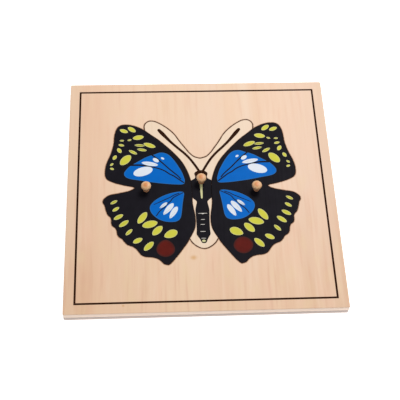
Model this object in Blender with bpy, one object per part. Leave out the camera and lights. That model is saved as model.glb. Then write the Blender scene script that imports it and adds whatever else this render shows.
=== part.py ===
"""Butterfly peg puzzle, lying flat: a square board of two glued wooden layers whose top layer has a
butterfly-shaped recess, three pieces that drop into the recess flush with the board, and a turned
knob on each piece.

Lengths below are in millimetres; MM turns them into metres. The origin is the centre of the board's
underside, +Z points up and +Y points towards the butterfly's antennae. Outlines are drawn for the
right half (+X) and mirrored for the left.
"""

import math

import bmesh
import bpy
from mathutils import Vector

MM = 0.001

# Board
BOARD_SIDE = 240.0
CORNER_RADIUS = 1.5
EDGE_EASE = 0.5
BACKING_THICK = 5.0
GLUE_LINE = 0.3
TOP_THICK = 5.2
PLATE_LEVEL = BACKING_THICK + GLUE_LINE
BOARD_THICK = PLATE_LEVEL + TOP_THICK

# Pieces and the saw cut around them
CUT_WIDTH = 0.3
PIECE_EASE = 0.2
CURVE_STEP = 2.2

# Knobs
SHOULDER_CLEARANCE = 0.3
TENON_RADIUS = 2.0
TENON_LENGTH = 4.6
TENON_CLEARANCE = 0.3
KNOB_SIDES = 24
KNOB_STEP = 0.9
BODY_KNOB_PLACE = (-0.2, 7.5)
RIGHT_KNOB_PLACE = (49.1, -1.4)
LEFT_KNOB_PLACE = (-49.6, 0.1)
# (radius, height) above the piece's face: foot, waist, widening neck, brow and low domed crown.
KNOB_TURNING = [
    (3.05, SHOULDER_CLEARANCE), (2.9, 1.2), (3.2, 2.8), (4.1, 5.2), (4.7, 6.6), (4.8, 7.5), (4.4, 8.5),
    (3.0, 9.2), (0, 9.4),
]

# The right wing's inner edge, from the shoulder, where the antenna loop meets it, past the waist
# to the foot of the body piece. The wing and the body piece share it.
INNER_EDGE = [
    (50.3, 65.2), (44.5, 60), (38.5, 55), (33.5, 50), (24.5, 40), (17.2, 30), (12.6, 20), (9.8, 10),
    (8.8, 3), (8.8, -7), (8.9, -14), (8.2, -20), (7.1, -27), (6.9, -34), (7.6, -39.5), (10, -45.5),
    (12.6, -50.3),
]
# From the foot round the tail and up the hindwing's scalloped margin to the notch.
HINDWING_MARGIN = [
    (15, -54.7), (22.3, -65.2), (28.6, -73.2), (31.5, -75.6), (34.6, -74.8), (37.3, -72), (40.2, -69.5),
    (44.5, -68), (51, -67.1), (54.5, -65.2), (56.5, -62.5), (58.6, -59.6), (61.8, -57), (66.3, -55),
    (69, -52), (70.6, -49.4), (73.2, -47.6), (74.9, -45), (75.5, -41), (77, -38), (79.4, -35.8),
    (80.2, -33), (80.3, -29.5), (81.2, -27.2), (83.3, -25), (85.1, -20), (86.3, -15), (87.8, -12.2),
    (87.4, -9.4), (85.5, -7.2), (82.4, -5), (75, -3.3), (65, -0.9), (61.5, 0.7), (59.4, 2.6),
]
# From the notch round the forewing's tip and back to the shoulder.
FOREWING_MARGIN = [
    (59.4, 2.6), (61.5, 3.8), (65, 4.6), (75, 7.4), (80.9, 10), (84.2, 12.2), (85.8, 15.2), (86.2, 20),
    (85.8, 25), (84.6, 30), (81, 40), (78.7, 50), (77.9, 60), (76.8, 65), (74.6, 69.6), (71.8, 71.5),
    (68, 72), (64, 71.6), (60, 70.4), (55, 68.1), (50.3, 65.2),
]
# The body piece's upper edge: up from the middle of its V and round the antenna loop.
ANTENNA_LOOP = [
    (0, 33.4), (5.2, 35), (10.2, 40), (13.5, 45), (16.8, 50), (19.8, 55), (22.7, 60), (26.8, 65),
    (32.3, 70), (38, 74), (42, 75.8), (46, 75.9), (49.2, 73.8), (50.7, 70.4), (50.3, 65.2),
]
# The body piece's round foot, down to the middle.
FOOT = [(12.6, -50.3), (10, -54.7), (6.5, -58), (3, -60), (0, -60.6)]


def clear_scene():
    for old in list(bpy.data.objects):
        bpy.data.objects.remove(old, do_unlink=True)


def material(name, colour, roughness):
    made = bpy.data.materials.new(name)
    made.use_nodes = True
    shader = made.node_tree.nodes["Principled BSDF"]
    shader.inputs["Base Color"].default_value = (*colour, 1.0)
    shader.inputs["Roughness"].default_value = roughness
    shader.inputs["Metallic"].default_value = 0.0
    return made


def spans(points, longest=CURVE_STEP):
    """One list of points per stretch between two given points, on a centripetal Catmull-Rom curve."""
    given = [Vector(point) for point in points]
    given = [2 * given[0] - given[1], *given, 2 * given[-1] - given[-2]]
    found = []
    for before, start, end, after in zip(given, given[1:], given[2:], given[3:]):
        t0 = 0.0
        t1 = t0 + math.sqrt((start - before).length)
        t2 = t1 + math.sqrt((end - start).length)
        t3 = t2 + math.sqrt((after - end).length)
        steps = max(1, round((end - start).length / longest))
        span = []
        for step in range(steps):
            t = t1 + (t2 - t1) * step / steps
            a1 = before.lerp(start, (t - t0) / (t1 - t0))
            a2 = start.lerp(end, (t - t1) / (t2 - t1))
            a3 = end.lerp(after, (t - t2) / (t3 - t2))
            b1 = a1.lerp(a2, (t - t0) / (t2 - t0))
            b2 = a2.lerp(a3, (t - t1) / (t3 - t1))
            span.append(b1.lerp(b2, (t - t1) / (t2 - t1)))
        found.append(span)
    return found


def joined(found):
    return [point for span in found for point in span]


def mirrored(outline):
    """The outline reflected in the butterfly's middle line, in an order that still runs the same way."""
    return [Vector((-point.x, point.y)) for point in reversed(outline)]


def both_halves(half):
    """A closed outline from its right half, which starts on the middle line and ends just before it."""
    middle_top, *side = half
    foot = Vector(FOOT[-1])
    return [middle_top, *side, foot, *mirrored(side)]


def clockwise(outline):
    pairs = zip(outline, [*outline[1:], outline[0]])
    return sum(a.x * b.y - b.x * a.y for a, b in pairs) < 0


def grown(outline, distance):
    """The closed outline with each point moved outward, square to the curve, by this distance."""
    side = 1 if clockwise(outline) else -1
    count = len(outline)
    moved = []
    for i, point in enumerate(outline):
        arriving = (point - outline[i - 1]).normalized()
        leaving = (outline[(i + 1) % count] - point).normalized()
        along = (arriving + leaving).normalized()
        normal = Vector((-along.y, along.x)) * side
        spread = max(0.5, along.dot(arriving))
        moved.append(point + normal * (distance / spread))
    return moved


def prism(name, outline, height, ease=0.0):
    """A closed outline raised by height from z = 0, with its upper rim eased."""
    bm = bmesh.new()
    ring = [bm.verts.new((point.x * MM, point.y * MM, 0)) for point in outline]
    floor = bm.faces.new(ring)
    raised = bmesh.ops.extrude_face_region(bm, geom=[floor])
    top = [item for item in raised["geom"] if isinstance(item, bmesh.types.BMVert)]
    bmesh.ops.translate(bm, vec=(0, 0, height * MM), verts=top)
    bmesh.ops.recalc_face_normals(bm, faces=bm.faces)
    if ease:
        rim = {edge for vert in top for edge in vert.link_edges if edge.other_vert(vert) in top}
        bmesh.ops.bevel(
            bm, geom=list(rim), offset=ease * MM, segments=1, profile=0.5, affect="EDGES", material=-1
        )
    mesh = bpy.data.meshes.new(name)
    bm.to_mesh(mesh)
    bm.free()
    return mesh


def plate(name, thickness, outer_level):
    """A square slab on z = 0 with rounded corners and its edges eased at outer_level, its outer face."""
    bm = bmesh.new()
    bmesh.ops.create_cube(bm, size=1.0)
    bmesh.ops.scale(bm, vec=(BOARD_SIDE * MM, BOARD_SIDE * MM, thickness * MM), verts=bm.verts)
    bmesh.ops.translate(bm, vec=(0, 0, thickness / 2 * MM), verts=bm.verts)
    upright = [edge for edge in bm.edges if abs(edge.verts[0].co.z - edge.verts[1].co.z) > MM]
    bmesh.ops.bevel(
        bm, geom=upright, offset=CORNER_RADIUS * MM, segments=4, profile=0.5, affect="EDGES", material=-1
    )
    outer = [
        edge for edge in bm.edges
        if all(abs(vert.co.z - outer_level * MM) < EDGE_EASE * MM for vert in edge.verts)
    ]
    bmesh.ops.bevel(
        bm, geom=outer, offset=EDGE_EASE * MM, segments=1, profile=0.5, affect="EDGES", material=-1
    )
    mesh = bpy.data.meshes.new(name)
    bm.to_mesh(mesh)
    bm.free()
    return mesh


def turned(name, profile):
    """A solid of revolution about Z from (radius, height) points that run from the axis to the axis."""
    bm = bmesh.new()
    points = [bm.verts.new((radius * MM, 0, height * MM)) for radius, height in profile]
    edges = [bm.edges.new(pair) for pair in zip(points, points[1:])]
    bmesh.ops.spin(
        bm, geom=points + edges, axis=(0, 0, 1), cent=(0, 0, 0), angle=math.tau, steps=KNOB_SIDES,
        use_merge=True,
    )
    bmesh.ops.remove_doubles(bm, verts=bm.verts, dist=0.01 * MM)
    bmesh.ops.recalc_face_normals(bm, faces=bm.faces)
    mesh = bpy.data.meshes.new(name)
    bm.to_mesh(mesh)
    bm.free()
    mesh.shade_smooth()
    mesh.set_sharp_from_angle(angle=math.radians(40))
    return mesh


def knob_profile():
    """(radius, height) points of a knob and the tenon under it, from the axis to the axis."""
    tenon = [(0, -TENON_LENGTH), (TENON_RADIUS, -TENON_LENGTH), (TENON_RADIUS, SHOULDER_CLEARANCE)]
    return tenon + [tuple(point) for point in joined(spans(KNOB_TURNING, KNOB_STEP))] + [KNOB_TURNING[-1]]


def add(name, mesh, finish, parent, place=(0, 0), level=0.0):
    made = bpy.data.objects.new(name, mesh)
    if finish.name not in mesh.materials:
        mesh.materials.append(finish)
    made.location = (place[0] * MM, place[1] * MM, level * MM)
    made.parent = parent
    bpy.context.scene.collection.objects.link(made)
    return made


def cut(target, name, mesh, parent, place=(0, 0), level=0.0):
    """Cuts the mesh out of the target with a Boolean that stays live."""
    cutter = bpy.data.objects.new(name, mesh)
    cutter.location = (place[0] * MM, place[1] * MM, level * MM)
    cutter.parent = parent
    cutter.hide_render = True
    cutter.display_type = "WIRE"
    bpy.context.scene.collection.objects.link(cutter)
    boolean = target.modifiers.new("cut " + name, "BOOLEAN")
    boolean.operation = "DIFFERENCE"
    boolean.solver = "EXACT"
    boolean.object = cutter


def round_hole(radius, depth):
    profile = [(0, -depth), (radius, -depth), (radius, depth), (0, depth)]
    return turned("knob hole", profile)


def build():
    clear_scene()
    puzzle = bpy.data.objects.new("puzzle", None)
    bpy.context.scene.collection.objects.link(puzzle)

    plywood = material("pale plywood", (0.76, 0.56, 0.39), 0.55)
    backing_wood = material("backing plywood", (0.66, 0.52, 0.42), 0.6)
    black_print = material("black printed plywood", (0.010, 0.009, 0.012), 0.45)
    bare_wood = material("bare piece plywood", (0.82, 0.66, 0.47), 0.55)
    knob_wood = material("turned beech", (0.74, 0.48, 0.28), 0.5)

    inner_spans = len(INNER_EDGE) - 1
    wing_spans = spans(INNER_EDGE + HINDWING_MARGIN)
    inner_edge = joined(wing_spans[:inner_spans])
    hindwing_margin = joined(wing_spans[inner_spans:])
    forewing_margin = joined(spans(FOREWING_MARGIN))
    antenna_loop = joined(spans(ANTENNA_LOOP))
    foot = joined(spans(FOOT))

    wing_outline = inner_edge + hindwing_margin + forewing_margin
    body_outline = both_halves(antenna_loop + inner_edge + foot)
    outer_margin = list(reversed(hindwing_margin[1:] + forewing_margin))
    recess_outline = both_halves(antenna_loop + [Vector(INNER_EDGE[0])] + outer_margin + foot)

    add("backing_board", plate("backing_board", BACKING_THICK, 0), backing_wood, puzzle)
    top_plate = plate("puzzle_board", TOP_THICK, TOP_THICK)
    puzzle_board = add("puzzle_board", top_plate, plywood, puzzle, level=PLATE_LEVEL)
    recess = prism("recess", grown(recess_outline, CUT_WIDTH / 2), 3 * TOP_THICK)
    cut(puzzle_board, "recess", recess, puzzle, level=PLATE_LEVEL - TOP_THICK)

    pieces = [
        ("right_wing", wing_outline, black_print, "right_knob", RIGHT_KNOB_PLACE),
        ("left_wing", mirrored(wing_outline), black_print, "left_knob", LEFT_KNOB_PLACE),
        ("body_piece", body_outline, bare_wood, "body_knob", BODY_KNOB_PLACE),
    ]
    knob = turned("knob", knob_profile())
    hole = round_hole(TENON_RADIUS + TENON_CLEARANCE, 2 * TOP_THICK)
    for name, outline, finish, knob_name, place in pieces:
        shape = prism(name, grown(outline, -CUT_WIDTH / 2), TOP_THICK, PIECE_EASE)
        piece = add(name, shape, finish, puzzle, level=PLATE_LEVEL)
        cut(piece, knob_name + "_hole", hole, puzzle, place, PLATE_LEVEL)
        add(knob_name, knob, knob_wood, puzzle, place, BOARD_THICK)


build()
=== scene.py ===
"""The looks of a wooden butterfly peg puzzle.

A square board of two glued plywood layers has a butterfly-shaped recess cut into its upper layer. Two
printed wings and a printed body piece lie in the recess, flush with the board, and each carries a small
turned beech knob.

Sizes are in millimetres unless a name says otherwise, and MM turns them into Blender's metres. +Z points
up out of the printed face and +Y points towards the antennae. The print is drawn for the right wing (+X)
and mirrored for the left one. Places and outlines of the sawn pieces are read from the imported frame.
"""

import logging
import math
from dataclasses import dataclass
from enum import Enum
from typing import Any, Optional, Sequence

import bmesh
import bpy
from mathutils import Matrix, Vector


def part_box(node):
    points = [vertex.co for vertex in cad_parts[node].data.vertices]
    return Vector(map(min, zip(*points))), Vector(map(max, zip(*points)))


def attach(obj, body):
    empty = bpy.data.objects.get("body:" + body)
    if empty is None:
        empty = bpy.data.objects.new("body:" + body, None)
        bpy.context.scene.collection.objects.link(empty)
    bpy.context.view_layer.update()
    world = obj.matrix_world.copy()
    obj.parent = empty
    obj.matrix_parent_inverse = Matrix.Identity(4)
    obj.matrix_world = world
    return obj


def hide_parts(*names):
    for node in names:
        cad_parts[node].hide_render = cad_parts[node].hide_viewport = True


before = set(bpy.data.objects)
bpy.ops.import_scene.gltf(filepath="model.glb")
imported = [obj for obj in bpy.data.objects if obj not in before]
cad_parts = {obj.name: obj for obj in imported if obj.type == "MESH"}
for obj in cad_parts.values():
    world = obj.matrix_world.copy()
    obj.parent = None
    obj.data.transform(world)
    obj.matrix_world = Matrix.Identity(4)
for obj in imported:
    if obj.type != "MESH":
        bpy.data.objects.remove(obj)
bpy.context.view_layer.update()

MM = 0.001
CURVE_STEP = 0.7
CORNER_TURN = math.radians(38)
SHARP_EDGE = math.radians(50)
SCORCH = "scorch"
THIN_INK = "thin_ink"

logging.basicConfig(level=logging.INFO, format="%(message)s")
log = logging.getLogger("puzzle")

Loop = list[Vector]
Socket = bpy.types.NodeSocket


# ------------------------------------------------------------------------------------------- curves


def curve_span(before: Vector, start: Vector, end: Vector, after: Vector, step: float) -> Loop:
    """Points from start up to, but not at, end on a centripetal Catmull-Rom curve.

    Args:
        before: The given point before start.
        start: The first point of the span.
        end: The point that the next span starts with.
        after: The given point after end.
        step: The longest distance between two points.

    Returns:
        The points, evenly spread over the span.
    """
    t0 = 0.0
    t1 = t0 + math.sqrt((start - before).length)
    t2 = t1 + math.sqrt((end - start).length)
    t3 = t2 + math.sqrt((after - end).length)
    count = max(1, math.ceil((end - start).length / step))
    found = []
    for index in range(count):
        t = t1 + (t2 - t1) * index / count
        a1 = before.lerp(start, (t - t0) / (t1 - t0))
        a2 = start.lerp(end, (t - t1) / (t2 - t1))
        a3 = end.lerp(after, (t - t2) / (t3 - t2))
        b1 = a1.lerp(a2, (t - t0) / (t2 - t0))
        b2 = a2.lerp(a3, (t - t1) / (t3 - t1))
        found.append(b1.lerp(b2, (t - t1) / (t2 - t1)))
    return found


def turn_at(points: Loop, index: int) -> float:
    """The angle that a closed loop turns through at one of its points.

    Args:
        points: The loop.
        index: Which point.

    Returns:
        The angle in radians, 0 for straight on.
    """
    arriving = points[index] - points[index - 1]
    leaving = points[(index + 1) % len(points)] - points[index]
    return arriving.angle(leaving)


def smooth_loop(points: Sequence[Any], step: float = CURVE_STEP) -> Loop:
    """A smooth closed curve through points, which stays sharp where they turn a corner.

    Args:
        points: The given points, in order round the loop.
        step: The longest distance between two points of the curve.

    Returns:
        The points of the curve.
    """
    given = [Vector(point) for point in points]
    count = len(given)
    sharp = {index for index in range(count) if turn_at(given, index) > CORNER_TURN}
    found = []
    for index, start in enumerate(given):
        end = given[(index + 1) % count]
        before = 2 * start - end if index in sharp else given[index - 1]
        after = 2 * end - start if (index + 1) % count in sharp else given[(index + 2) % count]
        found += curve_span(before, start, end, after, step)
    return found


def smooth_line(points: Sequence[Any], step: float = CURVE_STEP) -> Loop:
    """A smooth open curve through points.

    Args:
        points: The given points, with two numbers each, or three where a width goes along.
        step: The longest distance between two points of the curve.

    Returns:
        The points of the curve, with as many numbers each.
    """
    given = [Vector(point) for point in points]
    given = [2 * given[0] - given[1], *given, 2 * given[-1] - given[-2]]
    found = []
    for before, start, end, after in zip(given, given[1:], given[2:], given[3:]):
        found += curve_span(before, start, end, after, step)
    return found + [given[-2]]


def stroke(points: Sequence[tuple[float, float, float]], step: float = CURVE_STEP) -> Loop:
    """The outline of a brush stroke with round ends.

    Args:
        points: (x, y, width) along the stroke's middle line.
        step: The longest distance between two points of the outline.

    Returns:
        The closed outline.
    """
    line = smooth_line(points, step)
    middle = [point.xy for point in line]
    left, right = [], []
    for index, point in enumerate(line):
        along = (middle[min(index + 1, len(line) - 1)] - middle[max(index - 1, 0)]).normalized()
        aside = Vector((-along.y, along.x)) * point.z / 2
        left.append(point.xy + aside)
        right.append(point.xy - aside)
    # Each round end is half a turn, in steps of 30 degrees.
    caps = [
        [centre + Matrix.Rotation(-math.pi * part / 6, 2) @ (start - centre) for part in range(1, 6)]
        for centre, start in ((middle[-1], left[-1]), (middle[0], right[0]))
    ]
    return left + caps[0] + right[::-1] + caps[1]


def grown(loop: Loop, distance: float) -> Loop:
    """An anticlockwise loop with each point moved outward, square to the curve.

    Args:
        loop: The loop.
        distance: How far out, or in if it is below 0.

    Returns:
        As many points as before. Those that a sharp corner leaves no room for lie on its tip.
    """
    count = len(loop)
    found = []
    for index, point in enumerate(loop):
        arriving = (point - loop[index - 1]).normalized()
        leaving = (loop[(index + 1) % count] - point).normalized()
        along = (arriving + leaving).normalized()
        outward = Vector((along.y, -along.x))
        found.append(point + outward * (distance / along.dot(arriving)))
    for corner in (index for index in range(count) if turn_at(loop, index) > CORNER_TURN):
        # Points beside the corner that were moved past the line that halves it go to its tip.
        tip, split = found[corner], found[corner] - loop[corner]
        if split.length == 0:
            continue
        for way in (-1, 1):
            for near in range(1, 9):
                index = (corner + way * near) % count
                was, now = split.cross(loop[index] - loop[corner]), split.cross(found[index] - loop[corner])
                if was * now <= 0:
                    found[index] = tip.copy()
    return found


def mirrored(loop: Loop) -> Loop:
    """The loop reflected in the butterfly's middle line, still running the same way round."""
    return [Vector((-point.x, point.y)) for point in reversed(loop)]


def moved(loop: Loop, shift: Vector) -> Loop:
    """The loop moved aside."""
    return [point + shift for point in loop]


def box_in_mm(node: str) -> tuple[Vector, Vector]:
    """The lowest and the highest corner of a CAD node's box, in millimetres."""
    lowest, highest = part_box(node)
    return lowest / MM, highest / MM


def wall_loops(node: str) -> list[Loop]:
    """The closed loops where a CAD node's walls meet its underside.

    Args:
        node: The name of a flat CAD node.

    Returns:
        The loops in millimetres, the longest first. Each runs anticlockwise from its point with the
        highest Y.
    """
    bm = bmesh.new()
    bm.from_mesh(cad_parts[node].data)
    bmesh.ops.remove_doubles(bm, verts=bm.verts, dist=0.001 * MM)
    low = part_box(node)[0].z
    reach = 0.01 * MM
    beside: dict[int, list[bmesh.types.BMVert]] = {}
    for edge in bm.edges:
        at_low = all(abs(vert.co.z - low) < reach for vert in edge.verts)
        if at_low and any(abs(face.normal.z) < 0.5 for face in edge.link_faces):
            first, second = edge.verts
            beside.setdefault(first.index, []).append(second)
            beside.setdefault(second.index, []).append(first)
    bm.verts.ensure_lookup_table()
    loops, done = [], set()
    for seed in sorted(beside):
        if seed in done:
            continue
        walk, here, last = [], bm.verts[seed], None
        while here.index not in done:
            done.add(here.index)
            walk.append(here.co.xy / MM)
            onward = [vert for vert in beside[here.index] if vert is not last and vert.index not in done]
            last, here = here, onward[0] if onward else here
        loops.append(walk)
    bm.free()
    return sorted((ordered(loop) for loop in loops), key=length_of, reverse=True)


def length_of(loop: Loop) -> float:
    """The way once round a closed loop."""
    return sum((point - loop[index - 1]).length for index, point in enumerate(loop))


def ordered(loop: Loop) -> Loop:
    """The same loop, anticlockwise and from its point with the highest Y.

    Args:
        loop: The loop, either way round.

    Returns:
        The loop with the same points in that order.
    """
    area = sum(a.x * b.y - b.x * a.y for a, b in zip(loop, [*loop[1:], loop[0]]))
    loop = loop if area > 0 else loop[::-1]
    start = max(range(len(loop)), key=lambda index: (loop[index].y, loop[index].x))
    return loop[start:] + loop[:start]


# ------------------------------------------------------------------------------------------- meshes


def ring_of(bm: bmesh.types.BMesh, loop: Loop, level: float) -> list[bmesh.types.BMVert]:
    """Adds the points of a loop to a mesh at a height.

    Args:
        bm: The mesh to add to.
        loop: The points, in millimetres.
        level: Their height, in millimetres.

    Returns:
        The new vertices in the loop's order.
    """
    return [bm.verts.new((point.x * MM, point.y * MM, level * MM)) for point in loop]


@dataclass
class SawnPlate:
    """A flat piece sawn to an outline, with square walls, rounded upper rims and eased lower ones.

    Attributes:
        loops: The outline, and after it any holes.
        low: The height of the underside.
        high: The height of the face.
        eases: For each loop, how far the rounding of its upper rim reaches.
        heats: For each loop, how far the browning from the cut reaches into the face, 0 for a cold saw.
        low_ease: How far the sanding of the lower rims reaches.
    """

    loops: list[Loop]
    low: float
    high: float
    eases: tuple[float, ...]
    heats: tuple[float, ...]
    low_ease: float = 0.1

    def build(self) -> bmesh.types.BMesh:
        """Makes the plate with its scorch values.

        Returns:
            A closed mesh, whose face and rims have material index 0 and whose walls have index 1.
        """
        bm = bmesh.new()
        scorch = bm.verts.layers.float.new(SCORCH)
        for index, (loop, ease, heat) in enumerate(zip(self.loops, self.eases, self.heats)):
            inward = -1 if index == 0 else 1
            # (distance in from the wall, height, how browned)
            steps = (
                (self.low_ease, self.low, 1.0),
                (0.0, self.low + self.low_ease, 1.0),
                (0.0, self.high - ease, 1.0),
                (0.3 * ease, self.high - 0.3 * ease, 0.95),
                (ease, self.high, 0.85),
                (ease + max(0.4 * heat, 0.1), self.high, 0.3),
                (ease + max(heat, 0.2), self.high, 0.0),
            )
            below: list[bmesh.types.BMVert] = []
            for distance, level, browned in steps:
                ring = ring_of(bm, grown(loop, inward * distance), level)
                for vert in ring:
                    vert[scorch] = browned if heat else 0.0
                for place in range(len(below)):
                    bm.faces.new((below[place - 1], below[place], ring[place], ring[place - 1]))
                below = ring
        bmesh.ops.remove_doubles(bm, verts=bm.verts, dist=0.001 * MM)
        for level in (self.low, self.high):
            rim = [
                edge for edge in bm.edges
                if edge.is_boundary and abs(edge.verts[0].co.z - level * MM) < 0.01 * MM
            ]
            if len(self.loops) == 1:
                bmesh.ops.contextual_create(bm, geom=rim)
            else:
                bmesh.ops.triangle_fill(bm, use_beauty=True, use_dissolve=False, edges=rim)
        bmesh.ops.recalc_face_normals(bm, faces=bm.faces)
        for part in bm.faces:
            part.material_index = 0 if part.normal.z > 0.5 else 1
        return bm


@dataclass
class Lathe:
    """A turned solid about an upright axis.

    Attributes:
        profile: (radius, height) points from the axis at the bottom to the axis at the top.
        place: Where the axis stands.
        sides: How many steps the turn takes.
    """

    profile: Loop
    place: Vector
    sides: int = 96

    def build(self) -> bmesh.types.BMesh:
        """Spins the profile into a closed mesh.

        Returns:
            The mesh, in metres and in place.
        """
        bm = bmesh.new()
        points = [bm.verts.new((point.x * MM, 0, point.y * MM)) for point in self.profile]
        edges = [bm.edges.new(pair) for pair in zip(points, points[1:])]
        bmesh.ops.spin(
            bm, geom=points + edges, axis=(0, 0, 1), cent=(0, 0, 0), angle=math.tau, steps=self.sides,
            use_merge=True,
        )
        bmesh.ops.remove_doubles(bm, verts=bm.verts, dist=0.002 * MM)
        bmesh.ops.recalc_face_normals(bm, faces=bm.faces)
        bmesh.ops.translate(bm, vec=self.place * MM, verts=bm.verts)
        return bm


def finished_piece(
    name: str,
    bm: bmesh.types.BMesh,
    materials: Sequence[bpy.types.Material],
    stands_for: Optional[str] = None,
) -> bpy.types.Object:
    """Turns a mesh into a piece of the puzzle.

    Args:
        name: The piece's name.
        bm: The mesh, in metres and in place. It is freed.
        materials: The materials that its faces' indices mean.
        stands_for: The CAD node that the piece is shown for, if any.

    Returns:
        The finished object.
    """
    mesh = bpy.data.meshes.new(name)
    bm.to_mesh(mesh)
    bm.free()
    for finish in materials:
        mesh.materials.append(finish)
    mesh.shade_smooth()
    mesh.set_sharp_from_angle(angle=SHARP_EDGE)
    made = bpy.data.objects.new(name, mesh)
    bpy.context.scene.collection.objects.link(made)
    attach(made, "root")
    if stands_for:
        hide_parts(stands_for)
    log.info("%s: %d faces, for %s", name, len(mesh.polygons), stands_for or "the looks only")
    return made


# ----------------------------------------------------------------------------------------- finishes


def linear(hex_colour: str) -> tuple[float, float, float, float]:
    """Turns an sRGB hex colour into a linear one.

    Args:
        hex_colour: Six digits, such as "f1d3b9".

    Returns:
        Red, green, blue and an alpha of 1.
    """
    shares = [int(hex_colour[start:start + 2], 16) / 255 for start in (0, 2, 4)]
    red, green, blue = (
        share / 12.92 if share <= 0.04045 else ((share + 0.055) / 1.055) ** 2.4 for share in shares
    )
    return red, green, blue, 1.0


def add_node(
    tree: bpy.types.NodeTree, kind: str, inputs: Optional[dict[Any, Any]] = None, **settings: Any
) -> bpy.types.Node:
    """Adds a node to a material with its settings and links.

    Args:
        tree: The material's node tree.
        kind: The node's type, without the ShaderNode before it.
        inputs: What each input, named or counted, holds: an output of another node or a plain value.
        settings: The node's own settings.

    Returns:
        The new node.
    """
    node = tree.nodes.new("ShaderNode" + kind)
    for setting, value in settings.items():
        setattr(node, setting, value)
    for key, value in (inputs or {}).items():
        if isinstance(value, bpy.types.NodeSocket):
            tree.links.new(value, node.inputs[key])
        else:
            node.inputs[key].default_value = value
    return node


def place_in_mm(tree: bpy.types.NodeTree) -> Socket:
    """The place on the piece in millimetres, from its Object coordinates."""
    place = add_node(tree, "TexCoord").outputs["Object"]
    return add_node(tree, "VectorMath", {0: place, "Scale": 1 / MM}, operation="SCALE").outputs[0]


def drawn_out(
    tree: bpy.types.NodeTree, place: Socket, size: tuple[float, float, float], detail: float
) -> Socket:
    """Noise with features of a given size along each axis, such as the lines of a grain.

    Args:
        tree: The material's node tree.
        place: The place in millimetres.
        size: The features' size along X, Y and Z, in millimetres.
        detail: How many finer layers the noise has.

    Returns:
        The noise, about 0.5 on the whole.
    """
    scaled = add_node(
        tree, "VectorMath", {0: place, 1: tuple(1 / length for length in size)}, operation="MULTIPLY"
    ).outputs[0]
    return add_node(tree, "TexNoise", {"Vector": scaled, "Scale": 1.0, "Detail": detail}).outputs["Fac"]


def washed(
    tree: bpy.types.NodeTree,
    colour: Any,
    tint: Any,
    guide: Socket,
    reach: tuple[float, float, float],
    easing: str = "SMOOTHSTEP",
    within: Optional[Socket] = None,
) -> Socket:
    """Lays a tint over a colour where a guide value calls for it.

    Args:
        tree: The material's node tree.
        colour: The colour below: an output, or an sRGB hex colour.
        tint: The tint, given in the same way.
        guide: The value that the tint follows.
        reach: The guide's value where the tint begins, its value where the tint is full, and the
            tint's share there.
        easing: How the share rises between the two.
        within: A share that the tint's own is multiplied by, if any.

    Returns:
        The tinted colour.
    """
    first, last, most = reach
    share = add_node(
        tree, "MapRange", {0: guide, 1: first, 2: last, 3: 0.0, 4: most}, interpolation_type=easing
    ).outputs[0]
    if within is not None:
        share = add_node(tree, "Math", {0: share, 1: within}, operation="MULTIPLY").outputs[0]
    below, above = (linear(shade) if isinstance(shade, str) else shade for shade in (colour, tint))
    return add_node(tree, "Mix", {0: share, 6: below, 7: above}, data_type="RGBA").outputs[2]


def set_stops(ramp: bpy.types.ColorRamp, stops: Sequence[tuple[float, str]], easing: str = "LINEAR") -> None:
    """Gives a colour ramp its stops.

    Args:
        ramp: The ramp of a Color Ramp node.
        stops: (position, sRGB hex colour) from left to right.
        easing: How the ramp goes from one stop to the next.
    """
    ramp.interpolation = easing
    while len(ramp.elements) > 1:
        ramp.elements.remove(ramp.elements[-1])
    ramp.elements[0].position = stops[0][0]
    ramp.elements[0].color = linear(stops[0][1])
    for position, colour in stops[1:]:
        ramp.elements.new(position).color = linear(colour)


def new_material(name: str) -> tuple[bpy.types.Material, bpy.types.NodeTree, bpy.types.Node]:
    """Starts a material.

    Args:
        name: The real material's name.

    Returns:
        The material, its node tree and its Principled shader.
    """
    made = bpy.data.materials.new(name)
    made.use_nodes = True
    return made, made.node_tree, made.node_tree.nodes["Principled BSDF"]


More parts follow.
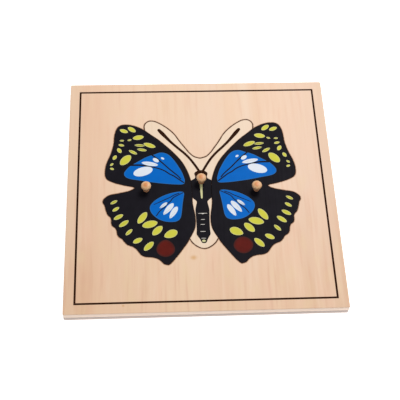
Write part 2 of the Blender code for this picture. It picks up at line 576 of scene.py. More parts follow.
@dataclass(frozen=True)
class LindenPlywood:
    """Three-ply linden, sanded and sealed with a thin matt varnish.

    The face veneers are rotary cut with their grain along Y, which shows as faint upright streaks. The
    core ply lies across them, so each wall shows end grain on one ply and long grain on the next.

    Attributes:
        name: The material's name.
        low: The height of the plywood's underside.
        high: The height of its face.
        pale: The light wood between the streaks.
        warm: The pinker wood of the broad bands.
        streak: The browner wood of the fine streaks.
        core: The wood of the core ply.
        rosy: The tint of the wood's pink patches.
        golden: The tint of its yellow patches.
        heart: The wood of a knot.
        far: (place across the board, colour) of the veneer's broad figure at its far end, left to right.
        near: The same at its near end, where the colours are also darker and warmer: painted shade towards
            the front.
        knots: (x, y, radius) of small knots in the face veneer.
    """

    name: str
    low: float
    high: float
    pale: str
    warm: str
    streak: str
    core: str
    rosy: str = "e5bba0"
    golden: str = "e0c49c"
    heart: str = "cf9f66"
    far: tuple[tuple[float, str], ...] = ()
    near: tuple[tuple[float, str], ...] = ()
    knots: tuple[tuple[float, float, float], ...] = ()

    def material(self) -> bpy.types.Material:
        """Builds the node tree.

        Returns:
            The material.
        """
        made, tree, surface = new_material(self.name)
        in_mm = place_in_mm(tree)
        grain, knot_share = self.bent_grain(tree, in_mm)
        face, fine = self.streaked(tree, grain)
        if knot_share is not None:
            face = washed(tree, face, self.heart, knot_share, (0.0, 1.0, 0.8), "LINEAR")
        colour = self.scorched(tree, in_mm, self.laid_up(tree, in_mm, face))
        tree.links.new(colour, surface.inputs["Base Color"])

        rough = add_node(tree, "MapRange", {0: fine, 1: 0.3, 2: 0.7, 3: 0.5, 4: 0.62}).outputs[0]
        tree.links.new(rough, surface.inputs["Roughness"])
        surface.inputs["Specular IOR Level"].default_value = 0.3
        bump = add_node(tree, "Bump", {"Height": fine, "Strength": 0.25, "Distance": 0.03 * MM})
        tree.links.new(bump.outputs[0], surface.inputs["Normal"])
        return made

    def bent_grain(self, tree: bpy.types.NodeTree, in_mm: Socket) -> tuple[Socket, Optional[Socket]]:
        """Bends the grain: it wanders a few millimetres aside along the board, and runs round the knots.

        Args:
            tree: The material's node tree.
            in_mm: The place in millimetres.

        Returns:
            The place to read the grain at, and how deep in a knot it is, if there are knots.
        """
        # One wave of the wander is about 75 mm across the board, 220 mm along it and 33 mm deep.
        slow = add_node(
            tree, "VectorMath", {0: in_mm, 1: (0.013, 0.0045, 0.03)}, operation="MULTIPLY"
        ).outputs[0]
        wander = add_node(tree, "TexNoise", {"Vector": slow, "Scale": 1.0, "Detail": 2.0})
        aside = add_node(
            tree, "VectorMath", {0: wander.outputs["Color"], 1: (0.5, 0.5, 0.5)}, operation="SUBTRACT"
        ).outputs[0]
        grain = add_node(
            tree, "VectorMath", {0: aside, 1: (11.0, 0.0, 0.0), 2: in_mm}, operation="MULTIPLY_ADD"
        ).outputs[0]

        # A knot is a little wider than long. The grain starts to part for it at 3.2 times its radius.
        knot_share = None
        for x, y, radius in self.knots:
            away = add_node(
                tree, "VectorMath", {0: in_mm, 1: (x, y, self.high)}, operation="SUBTRACT"
            ).outputs[0]
            flat = add_node(
                tree, "VectorMath", {0: away, 1: (0.8, 1.0, 0.3)}, operation="MULTIPLY"
            ).outputs[0]
            far = add_node(tree, "VectorMath", {0: flat}, operation="LENGTH").outputs["Value"]
            near = add_node(
                tree, "MapRange", {0: far, 1: radius * 3.2, 2: 0.0, 3: 0.0, 4: 1.0},
                interpolation_type="SMOOTHERSTEP",
            ).outputs[0]
            push = add_node(
                tree, "VectorMath", {0: away, 1: (-0.55, 0.0, 0.0)}, operation="MULTIPLY"
            ).outputs[0]
            push = add_node(tree, "VectorMath", {0: push, "Scale": near}, operation="SCALE").outputs[0]
            grain = add_node(tree, "VectorMath", {0: grain, 1: push}, operation="ADD").outputs[0]
            heart = add_node(
                tree, "MapRange", {0: far, 1: radius, 2: 0.0, 3: 0.0, 4: 1.0},
                interpolation_type="SMOOTHSTEP",
            ).outputs[0]
            knot_share = heart if knot_share is None else add_node(
                tree, "Math", {0: knot_share, 1: heart}, operation="MAXIMUM"
            ).outputs[0]
        return grain, knot_share

    def streaked(self, tree: bpy.types.NodeTree, grain: Socket) -> tuple[Socket, Socket]:
        """Colours the face veneer with its broad figure, a painted shade towards its near end, its streaks
        and its pores.

        Args:
            tree: The material's node tree.
            grain: The place to read the grain at.

        Returns:
            The veneer's colour, and the noise of its finest streaks.
        """
        # Linden's growth rings, rotary cut, show as fine, medium and broad streaks. The last layer is the
        # patchy tint of the wood itself.
        fine, medium, broad, cloud = (
            drawn_out(tree, grain, (width, length, width), detail)
            for width, length, detail in (
                (0.9, 40.0, 3.0), (3.6, 60.0, 2.0), (16.0, 260.0, 1.0), (12.0, 26.0, 1.0)
            )
        )
        split = add_node(tree, "SeparateXYZ", {0: grain}).outputs
        face: Any = self.pale
        # The broad figure runs from the near end's colours to the far end's along Y, reaching the far ones at
        # y 10. The near colours are darker and warmer: painted shade towards the front of the board.
        if self.near and self.far:
            ends = [self.banded(tree, split["X"], bands) for bands in (self.near, self.far)]
            face = washed(tree, *ends, split["Y"], (-125.0, 10.0, 1.0))

        # Each layer of streaks pulls the wood towards its own colour, less so at the far end.
        calm = add_node(tree, "MapRange", {0: split["Y"], 1: -90.0, 2: 30.0, 3: 1.0, 4: 0.45}).outputs[0]
        for layer, first, last, most, tint in (
            (cloud, 0.5, 0.75, 0.4, self.rosy),
            (cloud, 0.5, 0.25, 0.4, self.golden),
            (broad, 0.45, 0.75, 0.5, self.warm),
            (medium, 0.5, 0.72, 0.46, self.streak),
            (medium, 0.47, 0.27, 0.4, self.pale),
            (fine, 0.52, 0.78, 0.12, self.streak),
        ):
            face = washed(tree, face, tint, layer, (first, last, most), within=calm)

        # Short dark pore lines, drawn 0.35 mm wide because real ones are too fine to show.
        pore = drawn_out(tree, grain, (0.35, 5.0, 0.35), 1.0)
        return washed(tree, face, self.streak, pore, (0.66, 0.8, 0.25)), fine

    def banded(
        self, tree: bpy.types.NodeTree, across: Socket, bands: tuple[tuple[float, str], ...]
    ) -> Socket:
        """The veneer's broad figure at one of its ends, with painted shade at the near end.

        Args:
            tree: The material's node tree.
            across: The place across the board.
            bands: (place across the board, colour), left to right.

        Returns:
            The colour.
        """
        left, right = bands[0][0], bands[-1][0]
        share = add_node(tree, "MapRange", {0: across, 1: left, 2: right, 3: 0.0, 4: 1.0}).outputs[0]
        ramp = add_node(tree, "ValToRGB", {0: share})
        set_stops(ramp.color_ramp, [((x - left) / (right - left), colour) for x, colour in bands], "EASE")
        return ramp.outputs["Color"]

    def laid_up(self, tree: bpy.types.NodeTree, in_mm: Socket, face: Socket) -> Socket:
        """Puts the core ply, which lies across the face veneers, between them.

        Args:
            tree: The material's node tree.
            in_mm: The place in millimetres.
            face: The face veneers' colour.

        Returns:
            The plywood's colour.
        """
        crossed = drawn_out(tree, in_mm, (40.0, 0.8, 0.5), 3.0)
        core = washed(tree, self.core, self.warm, crossed, (0.35, 0.7, 1.0), "LINEAR")
        height = add_node(tree, "SeparateXYZ", {0: in_mm}).outputs["Z"]
        middle, half = (self.low + self.high) / 2, (self.high - self.low) / 2
        off_middle = add_node(tree, "Math", {0: height, 1: middle}, operation="SUBTRACT").outputs[0]
        off_middle = add_node(tree, "Math", {0: off_middle}, operation="ABSOLUTE").outputs[0]
        return washed(tree, face, core, off_middle, (half * 0.66, half * 0.6, 1.0), "LINEAR")

    def scorched(self, tree: bpy.types.NodeTree, in_mm: Socket, colour: Socket) -> Socket:
        """Browns the walls of the laser's cut and a hair's breadth of the face beside it.

        Args:
            tree: The material's node tree.
            in_mm: The place in millimetres.
            colour: The plywood's colour.

        Returns:
            The colour with its browned edges.
        """
        heat = add_node(tree, "Attribute", attribute_name=SCORCH, attribute_type="GEOMETRY").outputs["Fac"]
        uneven = add_node(tree, "TexNoise", {"Vector": in_mm, "Scale": 0.8, "Detail": 2.0}).outputs["Fac"]
        heat = add_node(tree, "Math", {0: heat, 1: uneven}, operation="MULTIPLY").outputs[0]
        browned = washed(tree, colour, "7f4c1f", heat, (0.0, 0.22, 0.85), "LINEAR")
        return washed(tree, browned, "361905", heat, (0.2, 0.42, 0.9), "LINEAR")


@dataclass(frozen=True)
class ScreenInk:
    """Screen-printed enamel ink, one pass of the squeegee on sealed wood.

    It dries to an even, semi-matt film that thins out towards its edge, where the colour turns paler
    and greyer, and the grain below it shows as a faint ripple.

    Attributes:
        name: The material's name.
        full: The colour of the full film.
        thin: The colour at the film's edge.
        rough: The roughness.
        mottle: How far the film's value wanders, as a share.
    """

    name: str
    full: str
    thin: str
    rough: float = 0.48
    mottle: float = 0.06

    def material(self) -> bpy.types.Material:
        """Builds the node tree.

        Returns:
            The material.
        """
        made, tree, surface = new_material(self.name)
        in_mm = place_in_mm(tree)
        edge = add_node(tree, "Attribute", attribute_name=THIN_INK, attribute_type="GEOMETRY").outputs["Fac"]
        colour = add_node(
            tree, "Mix", {0: edge, 6: linear(self.full), 7: linear(self.thin)}, data_type="RGBA"
        ).outputs[2]
        cloud = add_node(tree, "TexNoise", {"Vector": in_mm, "Scale": 0.16, "Detail": 3.0}).outputs["Fac"]
        value = add_node(
            tree, "MapRange", {0: cloud, 1: 0.3, 2: 0.7, 3: 1 - self.mottle, 4: 1 + self.mottle}
        ).outputs[0]
        colour = add_node(tree, "HueSaturation", {"Color": colour, "Value": value}).outputs["Color"]
        tree.links.new(colour, surface.inputs["Base Color"])
        fine = drawn_out(tree, in_mm, (0.9, 60.0, 0.9), 3.0)
        rough = add_node(
            tree, "MapRange", {0: fine, 1: 0.3, 2: 0.7, 3: self.rough - 0.05, 4: self.rough + 0.06}
        ).outputs[0]
        tree.links.new(rough, surface.inputs["Roughness"])
        surface.inputs["Specular IOR Level"].default_value = 0.03
        bump = add_node(tree, "Bump", {"Height": fine, "Strength": 0.2, "Distance": 0.02 * MM})
        tree.links.new(bump.outputs[0], surface.inputs["Normal"])
        return made


@dataclass(frozen=True)
class TurnedBeech:
    """Beech turned on a lathe from a dowel and dipped in satin varnish.

    The grain runs up the knob, so its sides show fine upright lines and its crown shows end grain,
    which drinks the varnish and turns orange in the middle.

    Attributes:
        place: Where the knob's axis stands.
        foot: The height of the face that the knob stands on.
        pale: The wood between the grain lines.
        dark: The grain lines.
        heart: The soaked end grain in the middle of the crown.
        neck_shade: Painted shade on the knob's lower part, under the crown's overhang.
    """

    place: Vector
    foot: float
    pale: str = "d8ae82"
    dark: str = "bd885a"
    heart: str = "cc7a38"
    neck_shade: str = "9a5c38"

    def material(self) -> bpy.types.Material:
        """Builds the node tree.

        Returns:
            The material.
        """
        made, tree, surface = new_material("turned beech, varnished")
        centred = add_node(
            tree, "VectorMath", {0: place_in_mm(tree), 1: (self.place.x, self.place.y, self.foot)},
            operation="SUBTRACT",
        ).outputs[0]
        lines = drawn_out(tree, centred, (0.45, 0.8, 12.0), 3.0)
        colour = washed(tree, self.pale, self.dark, lines, (0.42, 0.72, 0.55), "LINEAR")

        # The end grain's heart is a little off the axis, and shows on the crown only.
        flat = add_node(tree, "VectorMath", {0: centred, 1: (1.0, 1.0, 0.0)}, operation="MULTIPLY").outputs[0]
        flat = add_node(tree, "VectorMath", {0: flat, 1: (0.15, 0.25, 0.0)}, operation="ADD").outputs[0]
        radius = add_node(tree, "VectorMath", {0: flat}, operation="LENGTH").outputs["Value"]
        height = add_node(tree, "SeparateXYZ", {0: centred}).outputs["Z"]
        crown = add_node(
            tree, "MapRange", {0: height, 1: 7.0, 2: 8.2, 3: 0.0, 4: 1.0}, interpolation_type="SMOOTHSTEP"
        ).outputs[0]
        colour = washed(tree, colour, self.heart, radius, (3.3, 0.9, 0.85), within=crown)
        # Painted shade: below 3.6 mm the knob turns towards reddish brown, most below 1.6 mm, as under the
        # crown's overhang.
        colour = washed(tree, colour, self.neck_shade, height, (3.6, 1.6, 0.7))
        tree.links.new(colour, surface.inputs["Base Color"])
        surface.inputs["Roughness"].default_value = 0.4
        surface.inputs["Specular IOR Level"].default_value = 0.4
        bump = add_node(tree, "Bump", {"Height": lines, "Strength": 0.2, "Distance": 0.04 * MM})
        tree.links.new(bump.outputs[0], surface.inputs["Normal"])
        return made


# --------------------------------------------------------------------------------------- the print


@dataclass(frozen=True)
class Dab:
    """One leaf-shaped or oval dab of ink.

    Attributes:
        x: Its middle across the board.
        y: Its middle along the board.
        length: From tip to tip.
        width: Across its middle.
        turn: The angle of its length from +X, in degrees.
        point: 0 for an oval, and more for sharper tips.
        egg: How much wider its far end is than its near one, as a share.
    """

    x: float
    y: float
    length: float
    width: float
    turn: float
    point: float = 0.2
    egg: float = 0.0

    def outline(self) -> Loop:
        """Draws the dab.

        Returns:
            Its closed outline, anticlockwise.
        """
        count = max(16, round(2.4 * self.length / CURVE_STEP))
        turn = math.radians(self.turn)
        found = []
        for index in range(count):
            angle = math.tau * index / count
            along = self.length / 2 * math.cos(angle)
            aside = self.width / 2 * math.sin(angle) * abs(math.sin(angle)) ** self.point
            aside *= 1 + self.egg * math.cos(angle)
            found.append(Vector((
                self.x + along * math.cos(turn) - aside * math.sin(turn),
                self.y + along * math.sin(turn) + aside * math.cos(turn),
            )))
        return found


@dataclass
class InkFilm:
    """A film of one ink, printed as one or more separate shapes.

    Attributes:
        outlines: The shapes.
        ink: The material.
        level: The height of the face below the film.
        thick: The film's thickness.
        fade: How far the thin edge reaches into each shape, 0 where the whole film is thin.
    """

    outlines: list[Loop]
    ink: bpy.types.Material
    level: float
    thick: float = 0.04
    fade: float = 0.6

    def build(self) -> bmesh.types.BMesh:
        """Makes the film with its thin-edge values.

        Returns:
            A closed mesh for each shape, all in one.
        """
        bm = bmesh.new()
        thin = bm.verts.layers.float.new(THIN_INK)
        for outline in self.outlines:
            loop = ordered(outline)
            face = [bm.faces.new(ring_of(bm, loop, self.level + self.thick))]
            down = bmesh.ops.extrude_face_region(bm, geom=face)["geom"]
            floor = [item for item in down if isinstance(item, bmesh.types.BMVert)]
            bmesh.ops.translate(bm, vec=(0, 0, -self.thick * MM), verts=floor)
            for vert in {*floor, *face[0].verts}:
                vert[thin] = 1.0
            if not self.fade:
                continue
            bmesh.ops.inset_region(
                bm, faces=face, thickness=self.fade * MM, use_boundary=True, use_even_offset=False
            )
            for vert in face[0].verts:
                vert[thin] = 0.0
        bmesh.ops.recalc_face_normals(bm, faces=bm.faces)
        return bm

    def piece(self, name: str) -> bpy.types.Object:
        """Makes the film a piece of the puzzle."""
        return finished_piece(name, self.build(), [self.ink])


class Side(Enum):
    """Which wing: the sign of its X."""

    LEFT = -1
    RIGHT = 1

    def lay(self, loop: Loop, shift: Vector) -> Loop:
        """A shape drawn for the right wing, laid on this one with its printing error.

        Args:
            loop: The shape.
            shift: How far the screen was off, seen from above.

        Returns:
            The shape in its place.
        """
        return moved(loop if self is Side.RIGHT else mirrored(loop), shift)


class Inks:
    """The inks of the print, each mixed once."""

    def __init__(self) -> None:
        """Mixes them."""
        self.black = ScreenInk("black screen ink", "16141a", "1b1718", 0.5, 0.12).material()
        self.blue = ScreenInk("blue screen ink", "0061b9", "2f6aa4", 0.46, 0.05).material()
        self.yellow = ScreenInk("yellow-green screen ink", "c7c446", "c9c795", 0.5, 0.05).material()
        self.white = ScreenInk("white screen ink", "d7dde6", "cde0ee", 0.5, 0.02).material()
        self.red = ScreenInk("dark red screen ink", "5a1913", "3f1f1d", 0.5, 0.12).material()
        self.grey = ScreenInk("light grey screen ink", "dcd8d0", "b4afa6", 0.5, 0.04).material()
        self.brown = ScreenInk("brown-black screen ink", "2c1304", "3c2210", 0.6, 0.1).material()


# --------------------------------------------------------------------------------------- the pieces


@dataclass
class Board:
    """The two glued layers of the board, the recess in the upper one and the printed border line.

    Attributes:
        corner: The radius of the board's upright corners.
        ease: The rounding of its outer edges.
        sawn_ease: The rounding of the recess's rim.
        seam: The fine groove left between the glued layers.
        border_half: Half the side of the border line's square, at the line's middle.
        border_width: The width of the line.
        border_thick: The thickness of its ink.
    """

    corner: float = 1.5
    ease: float = 0.4
    sawn_ease: float = 0.12
    seam: float = 0.06
    border_half: float = 110.4
    border_width: float = 1.75
    border_thick: float = 0.03

    def square(self, half: float, corner: float) -> Loop:
        """A square loop with rounded corners.

        Args:
            half: Half its side.
            corner: The corners' radius.

        Returns:
            The loop, anticlockwise.
        """
        bm = bmesh.new()
        bmesh.ops.create_grid(bm, x_segments=1, y_segments=1, size=half)
        bmesh.ops.bevel(
            bm, geom=bm.verts[:], offset=corner, segments=6, profile=0.5, affect="VERTICES", material=-1
        )
        face = next(iter(bm.faces))
        loop = [vert.co.xy for vert in face.verts]
        bm.free()
        return ordered(loop)

    def build(self, ink: bpy.types.Material) -> None:
        """Builds the layers and the border line.

        Args:
            ink: The border line's ink.
        """
        far_corner = box_in_mm("puzzle_board")[1]
        outside = self.square(far_corner.x, self.corner)
        bottom, joint = (corner.z for corner in box_in_mm("backing_board"))
        self.top_layer(outside, joint)
        self.backing(outside, bottom, joint)
        finished_piece("border_line", self.border(far_corner.z), [ink])

    def top_layer(self, outside: Loop, joint: float) -> None:
        """Builds the upper layer with its recess.

        Args:
            outside: The board's outline.
            joint: The height where the layers are glued.
        """
        lowest, highest = box_in_mm("puzzle_board")
        recess = smooth_loop(wall_loops("puzzle_board")[1])
        face_wood = LindenPlywood(
            "linden plywood, matt varnish", lowest.z, highest.z,
            pale="e6c9ae", warm="e2bd9e", streak="d4a78a", core="d9c0ab",
            # The far colours hold the veneer's figure. The near ones hold it too, but darker and warmer:
            # painted shade towards the front.
            far=(
                (-120, "dec0a5"), (-104, "e0bc9f"), (-56, "e5c6ab"), (-26, "e4c5a9"), (14, "e3c6ad"),
                (30, "e2c4a8"), (44, "e4cab2"), (54, "e0c0a5"), (66, "e3c4aa"), (98, "e0c1a9"),
                (120, "dbbca3"),
            ),
            near=(
                (-120, "dcb99b"), (-106, "dab190"), (-88, "e0bc9c"), (-14, "e3c2a2"), (20, "deba9a"),
                (34, "e2bfa1"), (50, "ddb99b"), (60, "e2c0a1"), (70, "dcb797"), (78, "e1bd9f"),
                (92, "d9b394"), (100, "deba9d"), (120, "d8b596"),
            ),
            knots=((-9.8, -69.2, 3.6), (-70, -113, 1.4)),
        ).material()
        # The sawn edges are coloured paler and greyer than the face: painted light that lifts the walls and
        # the lower part of the rims, which the lamp lights less.
        edge_wood = LindenPlywood(
            "sawn edge of linden plywood", lowest.z, highest.z,
            pale="e4cebc", warm="e0c8b6", streak="d2b8a4", core="ddc9bb", rosy="e2c8b8", golden="e0ccb4",
        ).material()
        plate = SawnPlate(
            [outside, recess], joint + self.seam, highest.z, (self.ease, self.sawn_ease), (0.0, 1.0)
        )
        finished_piece("board_top_layer", plate.build(), [face_wood, edge_wood], "puzzle_board")

    def backing(self, outside: Loop, bottom: float, joint: float) -> None:
        """Builds the lower layer, face down, so that its eased rim is the underside's.

        Args:
            outside: The board's outline.
            bottom: The height of the underside.
            joint: The height where the layers are glued.
        """
        back_wood = LindenPlywood(
            "backing plywood, matt varnish", bottom, joint,
            pale="d8c2ad", warm="d3b79c", streak="c3a586", core="c6b4a6",
        ).material()
        back_edge = LindenPlywood(
            "sawn edge of the backing plywood", bottom, joint,
            pale="c9b8b0", warm="c4b3aa", streak="b5a49b", core="bfb0a9", rosy="c6b3ae", golden="c5b7aa",
        ).material()
        backing = SawnPlate([outside], -joint, -bottom, (self.ease,), (0.0,)).build()
        half_turn = Matrix.Rotation(math.pi, 3, "X")
        bmesh.ops.rotate(backing, verts=backing.verts, cent=(0, 0, 0), matrix=half_turn)
        finished_piece("backing_layer", backing, [back_wood, back_edge], "backing_board")

    def border(self, level: float) -> bmesh.types.BMesh:
        """The border line: a square ring of ink.

        Args:
            level: The height of the face that it is printed on.

        Returns:
            The ring's mesh.
        """
        bm = bmesh.new()
        outer = self.border_half + self.border_width / 2
        bmesh.ops.create_grid(bm, x_segments=1, y_segments=1, size=outer * MM)
        bmesh.ops.translate(bm, vec=(0, 0, level * MM), verts=bm.verts)
        middle = bm.faces[:]
        bmesh.ops.inset_region(
            bm, faces=middle, thickness=self.border_width * MM, use_boundary=True, use_even_offset=True
        )
        bmesh.ops.delete(bm, geom=middle, context="FACES")
        raised = bmesh.ops.extrude_face_region(bm, geom=bm.faces[:])["geom"]
        upper = [item for item in raised if isinstance(item, bmesh.types.BMVert)]
        bmesh.ops.translate(bm, vec=(0, 0, self.border_thick * MM), verts=upper)
        bmesh.ops.recalc_face_normals(bm, faces=bm.faces)
        return bm


@dataclass
class Wing:
    """One wing: a sawn plate printed black all over, with the other inks on it.

    The shapes are given for the right wing, seen from above. A vein is (x, y, width) along its middle.

    Attributes:
        side: Which wing.
        inks: The inks.
        ease: The rounding of the sawn rim.
        fore_shift: The printing error of the forewing's blue screen.
        hind_shift: The printing error of the hindwing's screens.
    """

    side: Side
    inks: Inks
    fore_shift: Vector
    hind_shift: Vector
    ease: float = 0.12

    BLUE_FORE = (
        (15.4, 6.8), (14.8, 10), (15.7, 14.5), (17.3, 19.5), (19.4, 24), (22, 29), (25, 33.8),
        (27.8, 37.4), (30.6, 39.6), (34, 40.8), (37.4, 40.7), (41, 39.2), (45.5, 37.7), (50, 35.7),
        (55, 32.5), (60, 29.3), (64, 26.5), (67.3, 22.8), (69.2, 19.5), (69.2, 16.8), (67.3, 14.4),
        (63.5, 12.7), (55, 11), (45, 8.9), (30, 6.7), (22, 6), (17.3, 6),
    )
    BLUE_HIND = (
        (16.2, -2.6), (17.2, -1.6), (20, -1.4), (25, -2.2), (30, -3.6), (35, -5.7), (40, -8.7),
        (43.5, -11.7), (46, -15.2), (46.6, -18.7), (45.5, -22.5), (43, -26), (39, -29.5), (34, -31.8),
        (29, -32.6), (24, -32.3), (21, -30.6), (19.4, -27.6), (18.5, -22.6), (17.6, -15), (16.6, -8.5),
        (15.9, -4),
    )
    FORE_VEINS = (
        (
            (16, 8, 1.2), (21.4, 12.5, 1.2), (25, 15.4, 1.2), (28.6, 17.5, 1.2), (32.1, 20.4, 1.2),
            (35.7, 22.5, 1.2), (39.3, 23.9, 1.2), (43, 25, 1.3), (47, 25.8, 1.4), (50, 26.7, 1.6),
            (55, 27.5, 1.7), (63, 27.6, 1.8),
        ),
        (
            (18.5, 12, 1.1), (21.4, 15.7, 1.1), (25, 19.3, 1.2), (28.6, 22.9, 1.2), (32.1, 26.8, 1.2),
            (35.7, 30.7, 1.3), (39.3, 34.3, 1.4), (43, 37.6, 1.4), (44.8, 39.4, 1.5),
        ),
    )
    HIND_VEINS = (
        (
            (17, -2.7, 0.8), (26, -8, 0.9), (28, -11, 0.9), (31, -14, 0.9), (34, -17.8, 0.9),
            (38, -21.5, 0.9), (41, -26, 0.8),
        ),
        ((20.5, -3.2, 0.8), (25, -5, 0.8), (28, -7, 0.8), (33, -9.5, 0.8), (38, -12, 0.7), (43, -14.5, 0.5)),
    )
    WHITE_FORE = (
        Dab(52.2, 20.5, 18, 9.3, -18, 0), Dab(46, 28.7, 15, 4.3, 12), Dab(40.5, 32.6, 6.2, 3.8, 38, 0),
        Dab(34.3, 34.4, 3.4, 2, 35, 0),
    )
    WHITE_HIND = (
        Dab(25.8, -23, 13.6, 4.8, -60, egg=-0.2), Dab(30.2, -19.3, 14.5, 4.8, -52, egg=-0.2),
        Dab(34.5, -15.4, 8.6, 2.8, -40, egg=-0.2),
    )
    YELLOW_FORE = (
        Dab(62.2, 66.6, 8.8, 4.5, 38), Dab(69.5, 65.1, 8, 4, 22), Dab(56.3, 57.5, 10.2, 5, -10),
        Dab(71.3, 54.3, 4, 2, 0), Dab(64.3, 54.8, 3.9, 2, -18), Dab(71.8, 49.2, 5.4, 2.6, 14),
        Dab(73.6, 43.3, 6, 3.8, 60), Dab(77.8, 35.7, 5.4, 3.4, -60), Dab(80.5, 28.1, 3.8, 2.2, -40),
        Dab(80.2, 23.4, 3.8, 2.3, 22), Dab(68, 32.7, 13.5, 7.5, -48), Dab(61.2, 41.2, 8.5, 3.1, 30),
        Dab(53, 43.7, 9, 2.9, 12), Dab(46, 48.6, 11.5, 4.6, 22), Dab(55.1, 48.7, 9.4, 2.8, 5),
    )
    YELLOW_HIND = (
        Dab(78.3, -11.2, 7, 2.9, -30), Dab(76.6, -18.5, 7, 3.2, -34), Dab(74.2, -26.5, 9.3, 4, -30),
        Dab(69.5, -33.3, 10.2, 4.3, -37), Dab(65, -42, 8, 3.3, -46), Dab(57.5, -50.6, 9, 4.6, -27),
        Dab(48, -56.3, 11.5, 5.3, -46), Dab(53.3, -27.8, 13.5, 6, -56), Dab(46.8, -34.5, 13.8, 7, -15),
        Dab(40.3, -41, 12, 6.2, -46), Dab(28.7, -44.7, 12.5, 7.6, -25, egg=-0.15),
    )
    # The red eye is drawn a little differently on each wing.
    RED_EYES = {
        Side.RIGHT: Dab(33.9, -58.4, 17.4, 16.7, 5, 0.18),
        Side.LEFT: Dab(33.5, -58.8, 16.9, 16.0, 90, 0.12, -0.12),
    }

    def build(self) -> None:
        """Builds the plate and the films of ink on it."""
        node = self.side.name.lower() + "_wing"
        lowest, highest = box_in_mm(node)
        outline = smooth_loop(wall_loops(node)[0])
        wood = LindenPlywood(
            "laser-cut linden plywood", lowest.z, highest.z,
            pale="e8c6a4", warm="e6c09c", streak="d8ad84", core="d6bba8",
        ).material()
        plate = SawnPlate([outline], lowest.z, highest.z, (self.ease,), (0.8,))
        finished_piece(node + "_plate", plate.build(), [self.inks.black, wood], node)

        here = Vector((0, 0))
        # (ink, slot, height above the black, reach of the thin edge, (shape, printing error) of each shape)
        films = {
            "blue": (self.inks.blue, "blue_ink", 0.0, 0.8, [
                (smooth_loop(self.BLUE_FORE), self.fore_shift),
                (smooth_loop(self.BLUE_HIND), self.hind_shift),
            ]),
            "veins": (self.inks.black, "black_ink", 0.04, 0.2, [
                *((stroke(vein), self.fore_shift) for vein in self.FORE_VEINS),
                *((stroke(vein), self.hind_shift) for vein in self.HIND_VEINS),
            ]),
            "white": (self.inks.white, "white_ink", 0.08, 0.5, [
                *((dab.outline(), self.fore_shift) for dab in self.WHITE_FORE),
                *((dab.outline(), self.hind_shift) for dab in self.WHITE_HIND),
            ]),
            "yellow": (self.inks.yellow, "yellow_ink", 0.0, 0.7, [
                *((dab.outline(), here) for dab in self.YELLOW_FORE),
                *((dab.outline(), self.hind_shift) for dab in self.YELLOW_HIND),
            ]),
            "red": (self.inks.red, "red_ink", 0.0, 2.2, [
                (self.RED_EYES[self.side].outline(), self.hind_shift),
            ]),
        }
        for colour, (ink, slot, lift, fade, shapes) in films.items():
            laid = [self.side.lay(loop, shift) for loop, shift in shapes]
            InkFilm(laid, ink, highest.z + lift, fade=fade).piece(f"{node}_{colour}_print")


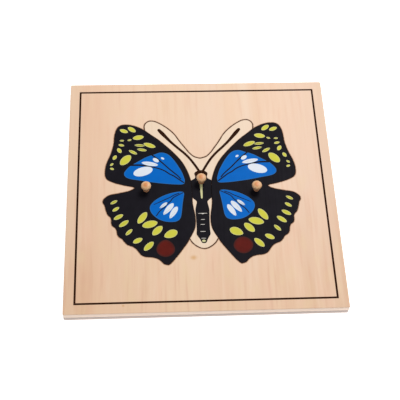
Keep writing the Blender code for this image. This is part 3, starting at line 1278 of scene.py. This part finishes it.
@dataclass
class BodyPiece:
    """The body piece: bare pale wood with the body, head and antennae printed on it.

    HALF_BODY and HALF_HEAD are right halves from top to bottom, and ANTENNA and STRIPE are (x, y, width)
    along a stroke's middle.

    Attributes:
        inks: The inks.
        ease: The rounding of the sawn rim.
    """

    inks: Inks
    ease: float = 0.12

    HALF_BODY = (
        (0, 13.5), (4.4, 12.6), (6.2, 11.2), (9.4, 9.0), (9.15, 7.6), (8.75, 5.0), (8.57, 1.0), (8.55, -3),
        (8.6, -7.0), (8.6, -8.8), (6.9, -10.6), (5, -12.6), (4.8, -13.8), (5.4, -17), (6.1, -20.5),
        (6.2, -23.5), (5.95, -30), (5.85, -36), (5.85, -42), (6.1, -45.2), (6.0, -46.6), (5.3, -48.1),
        (4.3, -49.7), (3.4, -51.3), (2.8, -52.7), (2.4, -53.9), (1.5, -55.0), (0, -55.4),
    )
    HALF_HEAD = (
        (0, 20.3), (2.3, 20.1), (3.8, 19.2), (5.4, 18.0), (6.0, 16.6), (5.7, 15.0), (5.3, 13.6),
        (5.4, 12.2), (5.9, 11.0), (0, 10.8),
    )
    ANTENNA = (
        (1.5, 19.2, 2.5), (2.4, 21.0, 2.3), (4.0, 24.0, 2.3), (6.6, 28.5, 2.3), (9.8, 33.5, 2.3),
        (14.4, 39.2, 2.35), (21.0, 46.0, 2.4), (26.7, 52.3, 2.6), (30.9, 57.6, 3.2), (34.2, 61.8, 3.7),
        (37.1, 65.5, 3.0),
    )
    STRIPE = ((-0.3, 5, 2.4), (-0.3, 0, 2.1), (-0.25, -5, 1.8), (-0.2, -9.3, 1.4))
    # (x, y, half its length)
    DASHES = (
        (-0.1, -25.3, 3.8), (-0.2, -31.6, 1.5), (-0.6, -36.6, 1.7), (-0.6, -43.7, 2.1), (-0.3, -50.5, 1.8),
    )
    TAIL_TIP = Dab(-0.2, -53.1, 3.3, 2.4, 0, 0)
    DROP = Dab(0, -25.7, 2.4, 0.8, 0, 0.6)

    def build(self) -> None:
        """Builds the plate and its print."""
        node = "body_piece"
        lowest, highest = box_in_mm(node)
        outline = smooth_loop(wall_loops(node)[0])
        wood = LindenPlywood(
            "pale linden plywood, matt varnish", lowest.z, highest.z,
            pale="e3cdb5", warm="e2c8ad", streak="d3b594", core="d6bba8",
        ).material()
        plate = SawnPlate([outline], lowest.z, highest.z, (self.ease,), (0.55,))
        finished_piece("body_plate", plate.build(), [wood, wood], node)

        antenna = stroke(self.ANTENNA)
        antennae = [moved(antenna, Vector((0.2, -0.35))), mirrored(antenna)]
        black = [self.bowed(point) for point in self.whole(self.HALF_BODY)]
        yellow = [stroke(self.STRIPE), self.TAIL_TIP.outline()]
        dashes = [
            stroke(((x - half_length, y, 0.4), (x, y, 0.5), (x + half_length, y, 0.4)))
            for x, y, half_length in self.DASHES
        ]
        inks = self.inks
        # (name, slot, ink, shapes, height above the wood, thickness, reach of the thin edge)
        for name, slot, ink, shapes, lift, thick, fade in (
            ("antennae_print", "border_ink", inks.brown, antennae, 0.0, 0.04, 0.3),
            ("head_print", "border_ink", inks.brown, [self.whole(self.HALF_HEAD)], 0.02, 0.04, 0.3),
            ("body_black_print", "black_ink", inks.black, [black], 0.04, 0.03, 0.25),
            ("body_yellow_print", "yellow_ink", inks.yellow, yellow, 0.08, 0.03, 0.0),
            ("body_grey_print", "grey_ink", inks.grey, dashes, 0.08, 0.03, 0.1),
            ("body_grey_drop", "grey_ink", inks.grey, [self.DROP.outline()], 0.08, 0.02, 0.1),
        ):
            InkFilm(shapes, ink, highest.z + lift, thick, fade).piece(name)

    def bowed(self, point: Vector) -> Vector:
        """The point moved by the abdomen's slight bow to the left.

        Args:
            point: A point of the body's outline.

        Returns:
            The point, 0.2 mm to the left between y -18 and -48, and less up to y -10 and down to -54.
        """
        share = max(0.0, min(1.0, (-10 - point.y) / 8, (point.y + 54) / 6))
        return Vector((point.x - 0.2 * share, point.y))

    def whole(self, half: Sequence[tuple[float, float]]) -> Loop:
        """A shape given by its right half from top to bottom, closed by the mirrored left half."""
        curve = smooth_line(half)
        return curve + mirrored(curve)[1:-1]


@dataclass
class Knob:
    """A small turned knob.

    Attributes:
        node: The CAD node that it is shown for.
        turning: (radius, height) as shares of the knob's own radius and height, from foot to crown.
    """

    node: str
    turning: tuple[tuple[float, float], ...] = (
        (0.51, 0.0), (0.53, 0.03), (0.52, 0.08), (0.47, 0.115), (0.43, 0.15), (0.435, 0.2), (0.5, 0.29),
        (0.64, 0.41), (0.79, 0.54), (0.89, 0.64), (0.93, 0.73), (0.905, 0.82), (0.79, 0.9), (0.52, 0.965),
        (0.26, 0.992), (0.0, 1.0),
    )

    def build(self, level: float) -> None:
        """Turns the knob and stands it on its piece.

        Args:
            level: The height of the piece's face.
        """
        lowest, highest = box_in_mm(self.node)
        centre = (lowest + highest) / 2
        radius, height = (highest.x - lowest.x) / 2, highest.z - level
        rim = smooth_line([(share * radius, level + up * height) for share, up in self.turning], 0.25)
        profile = [Vector((0, level)), *rim]
        place = Vector((centre.x, centre.y, 0))
        beech = TurnedBeech(place, level).material()
        finished_piece(self.node + "_turning", Lathe(profile, place).build(), [beech], self.node)


# ----------------------------------------------------------------------------------------- studio


@dataclass
class Studio:
    """A white sweep, soft light from the back right, and the camera.

    Attributes:
        floor_half: Half the floor's side, in metres, so wide that its edge lies near the horizon.
        gap: How far the floor lies below the board, in metres.
        sky: The strength of the white light from all round.
        lamp_power: The lamp's power, in watts.
        lamp_size: The width of its disc, in metres.
        lamp_place: Where it hangs, in metres. It points at the board.
        lens: The focal length on a 36 mm sensor.
        shift: How far the picture is shifted aside, as a share of its width.
        eye: Where the camera stands, in metres.
        aim: The camera's turn about each axis, in degrees.
    """

    floor_half: float = 60.0
    gap: float = 0.0003
    sky: float = 0.49
    lamp_power: float = 18.0
    lamp_size: float = 0.8
    lamp_place: tuple[float, float, float] = (0.5, 0.72, 1.25)
    lens: float = 86.783
    shift: float = -0.029708
    eye: tuple[float, float, float] = (-0.0401027, -0.4589814, 0.7419672)
    aim: tuple[float, float, float] = (31.53017, -2.16526, -2.69503)

    def floor(self) -> None:
        """Lays the floor, a white paper sweep with a faint glow of its own that keeps it white."""
        bm = bmesh.new()
        bmesh.ops.create_grid(bm, x_segments=1, y_segments=1, size=self.floor_half)
        bmesh.ops.translate(bm, vec=(0, 0, -self.gap), verts=bm.verts)
        mesh = bpy.data.meshes.new("floor")
        bm.to_mesh(mesh)
        bm.free()
        made, _, surface = new_material("white paper sweep")
        surface.inputs["Base Color"].default_value = (0.9, 0.9, 0.9, 1.0)
        surface.inputs["Roughness"].default_value = 0.9
        surface.inputs["Specular IOR Level"].default_value = 0.0
        surface.inputs["Emission Color"].default_value = (1.0, 1.0, 1.0, 1.0)
        surface.inputs["Emission Strength"].default_value = 0.8
        mesh.materials.append(made)
        floor = bpy.data.objects.new("floor", mesh)
        bpy.context.scene.collection.objects.link(floor)

    def light(self) -> None:
        """Sets the soft world light and the lamp."""
        world = bpy.data.worlds.new("studio")
        world.use_nodes = True
        background = world.node_tree.nodes["Background"]
        background.inputs["Color"].default_value = (1.0, 1.0, 1.0, 1.0)
        background.inputs["Strength"].default_value = self.sky
        bpy.context.scene.world = world
        lamp = bpy.data.lights.new("key", "AREA")
        lamp.shape = "DISK"
        lamp.size = self.lamp_size
        lamp.energy = self.lamp_power
        lamp.color = (1.0, 0.99, 0.985)
        key = bpy.data.objects.new("key", lamp)
        key.location = self.lamp_place
        key.rotation_euler = (-key.location).to_track_quat("-Z", "Y").to_euler()
        bpy.context.scene.collection.objects.link(key)

    def camera(self) -> None:
        """Places the camera in front of the board, looking down."""
        optics = bpy.data.cameras.new("camera")
        optics.lens = self.lens
        optics.sensor_width = 36
        optics.shift_x = self.shift
        camera = bpy.data.objects.new("camera", optics)
        camera.location = self.eye
        camera.rotation_euler = [math.radians(angle) for angle in self.aim]
        bpy.context.scene.collection.objects.link(camera)
        bpy.context.scene.camera = camera

    def build(self) -> None:
        """Sets up the studio."""
        self.floor()
        self.light()
        self.camera()
        bpy.context.scene.view_settings.view_transform = "Standard"


def main() -> None:
    """Builds the studio and the puzzle, and notes the sizes."""
    Studio().build()
    inks = Inks()
    Board().build(inks.brown)
    Wing(Side.RIGHT, inks, Vector((-0.4, 0.7)), Vector((0, 0.5))).build()
    Wing(Side.LEFT, inks, Vector((0, -0.6)), Vector((0, -0.8))).build()
    BodyPiece(inks).build()
    face = box_in_mm("body_piece")[1].z
    for node in ("left_knob", "right_knob", "body_knob"):
        Knob(node).build(face)


if __name__ == "__main__":
    main()
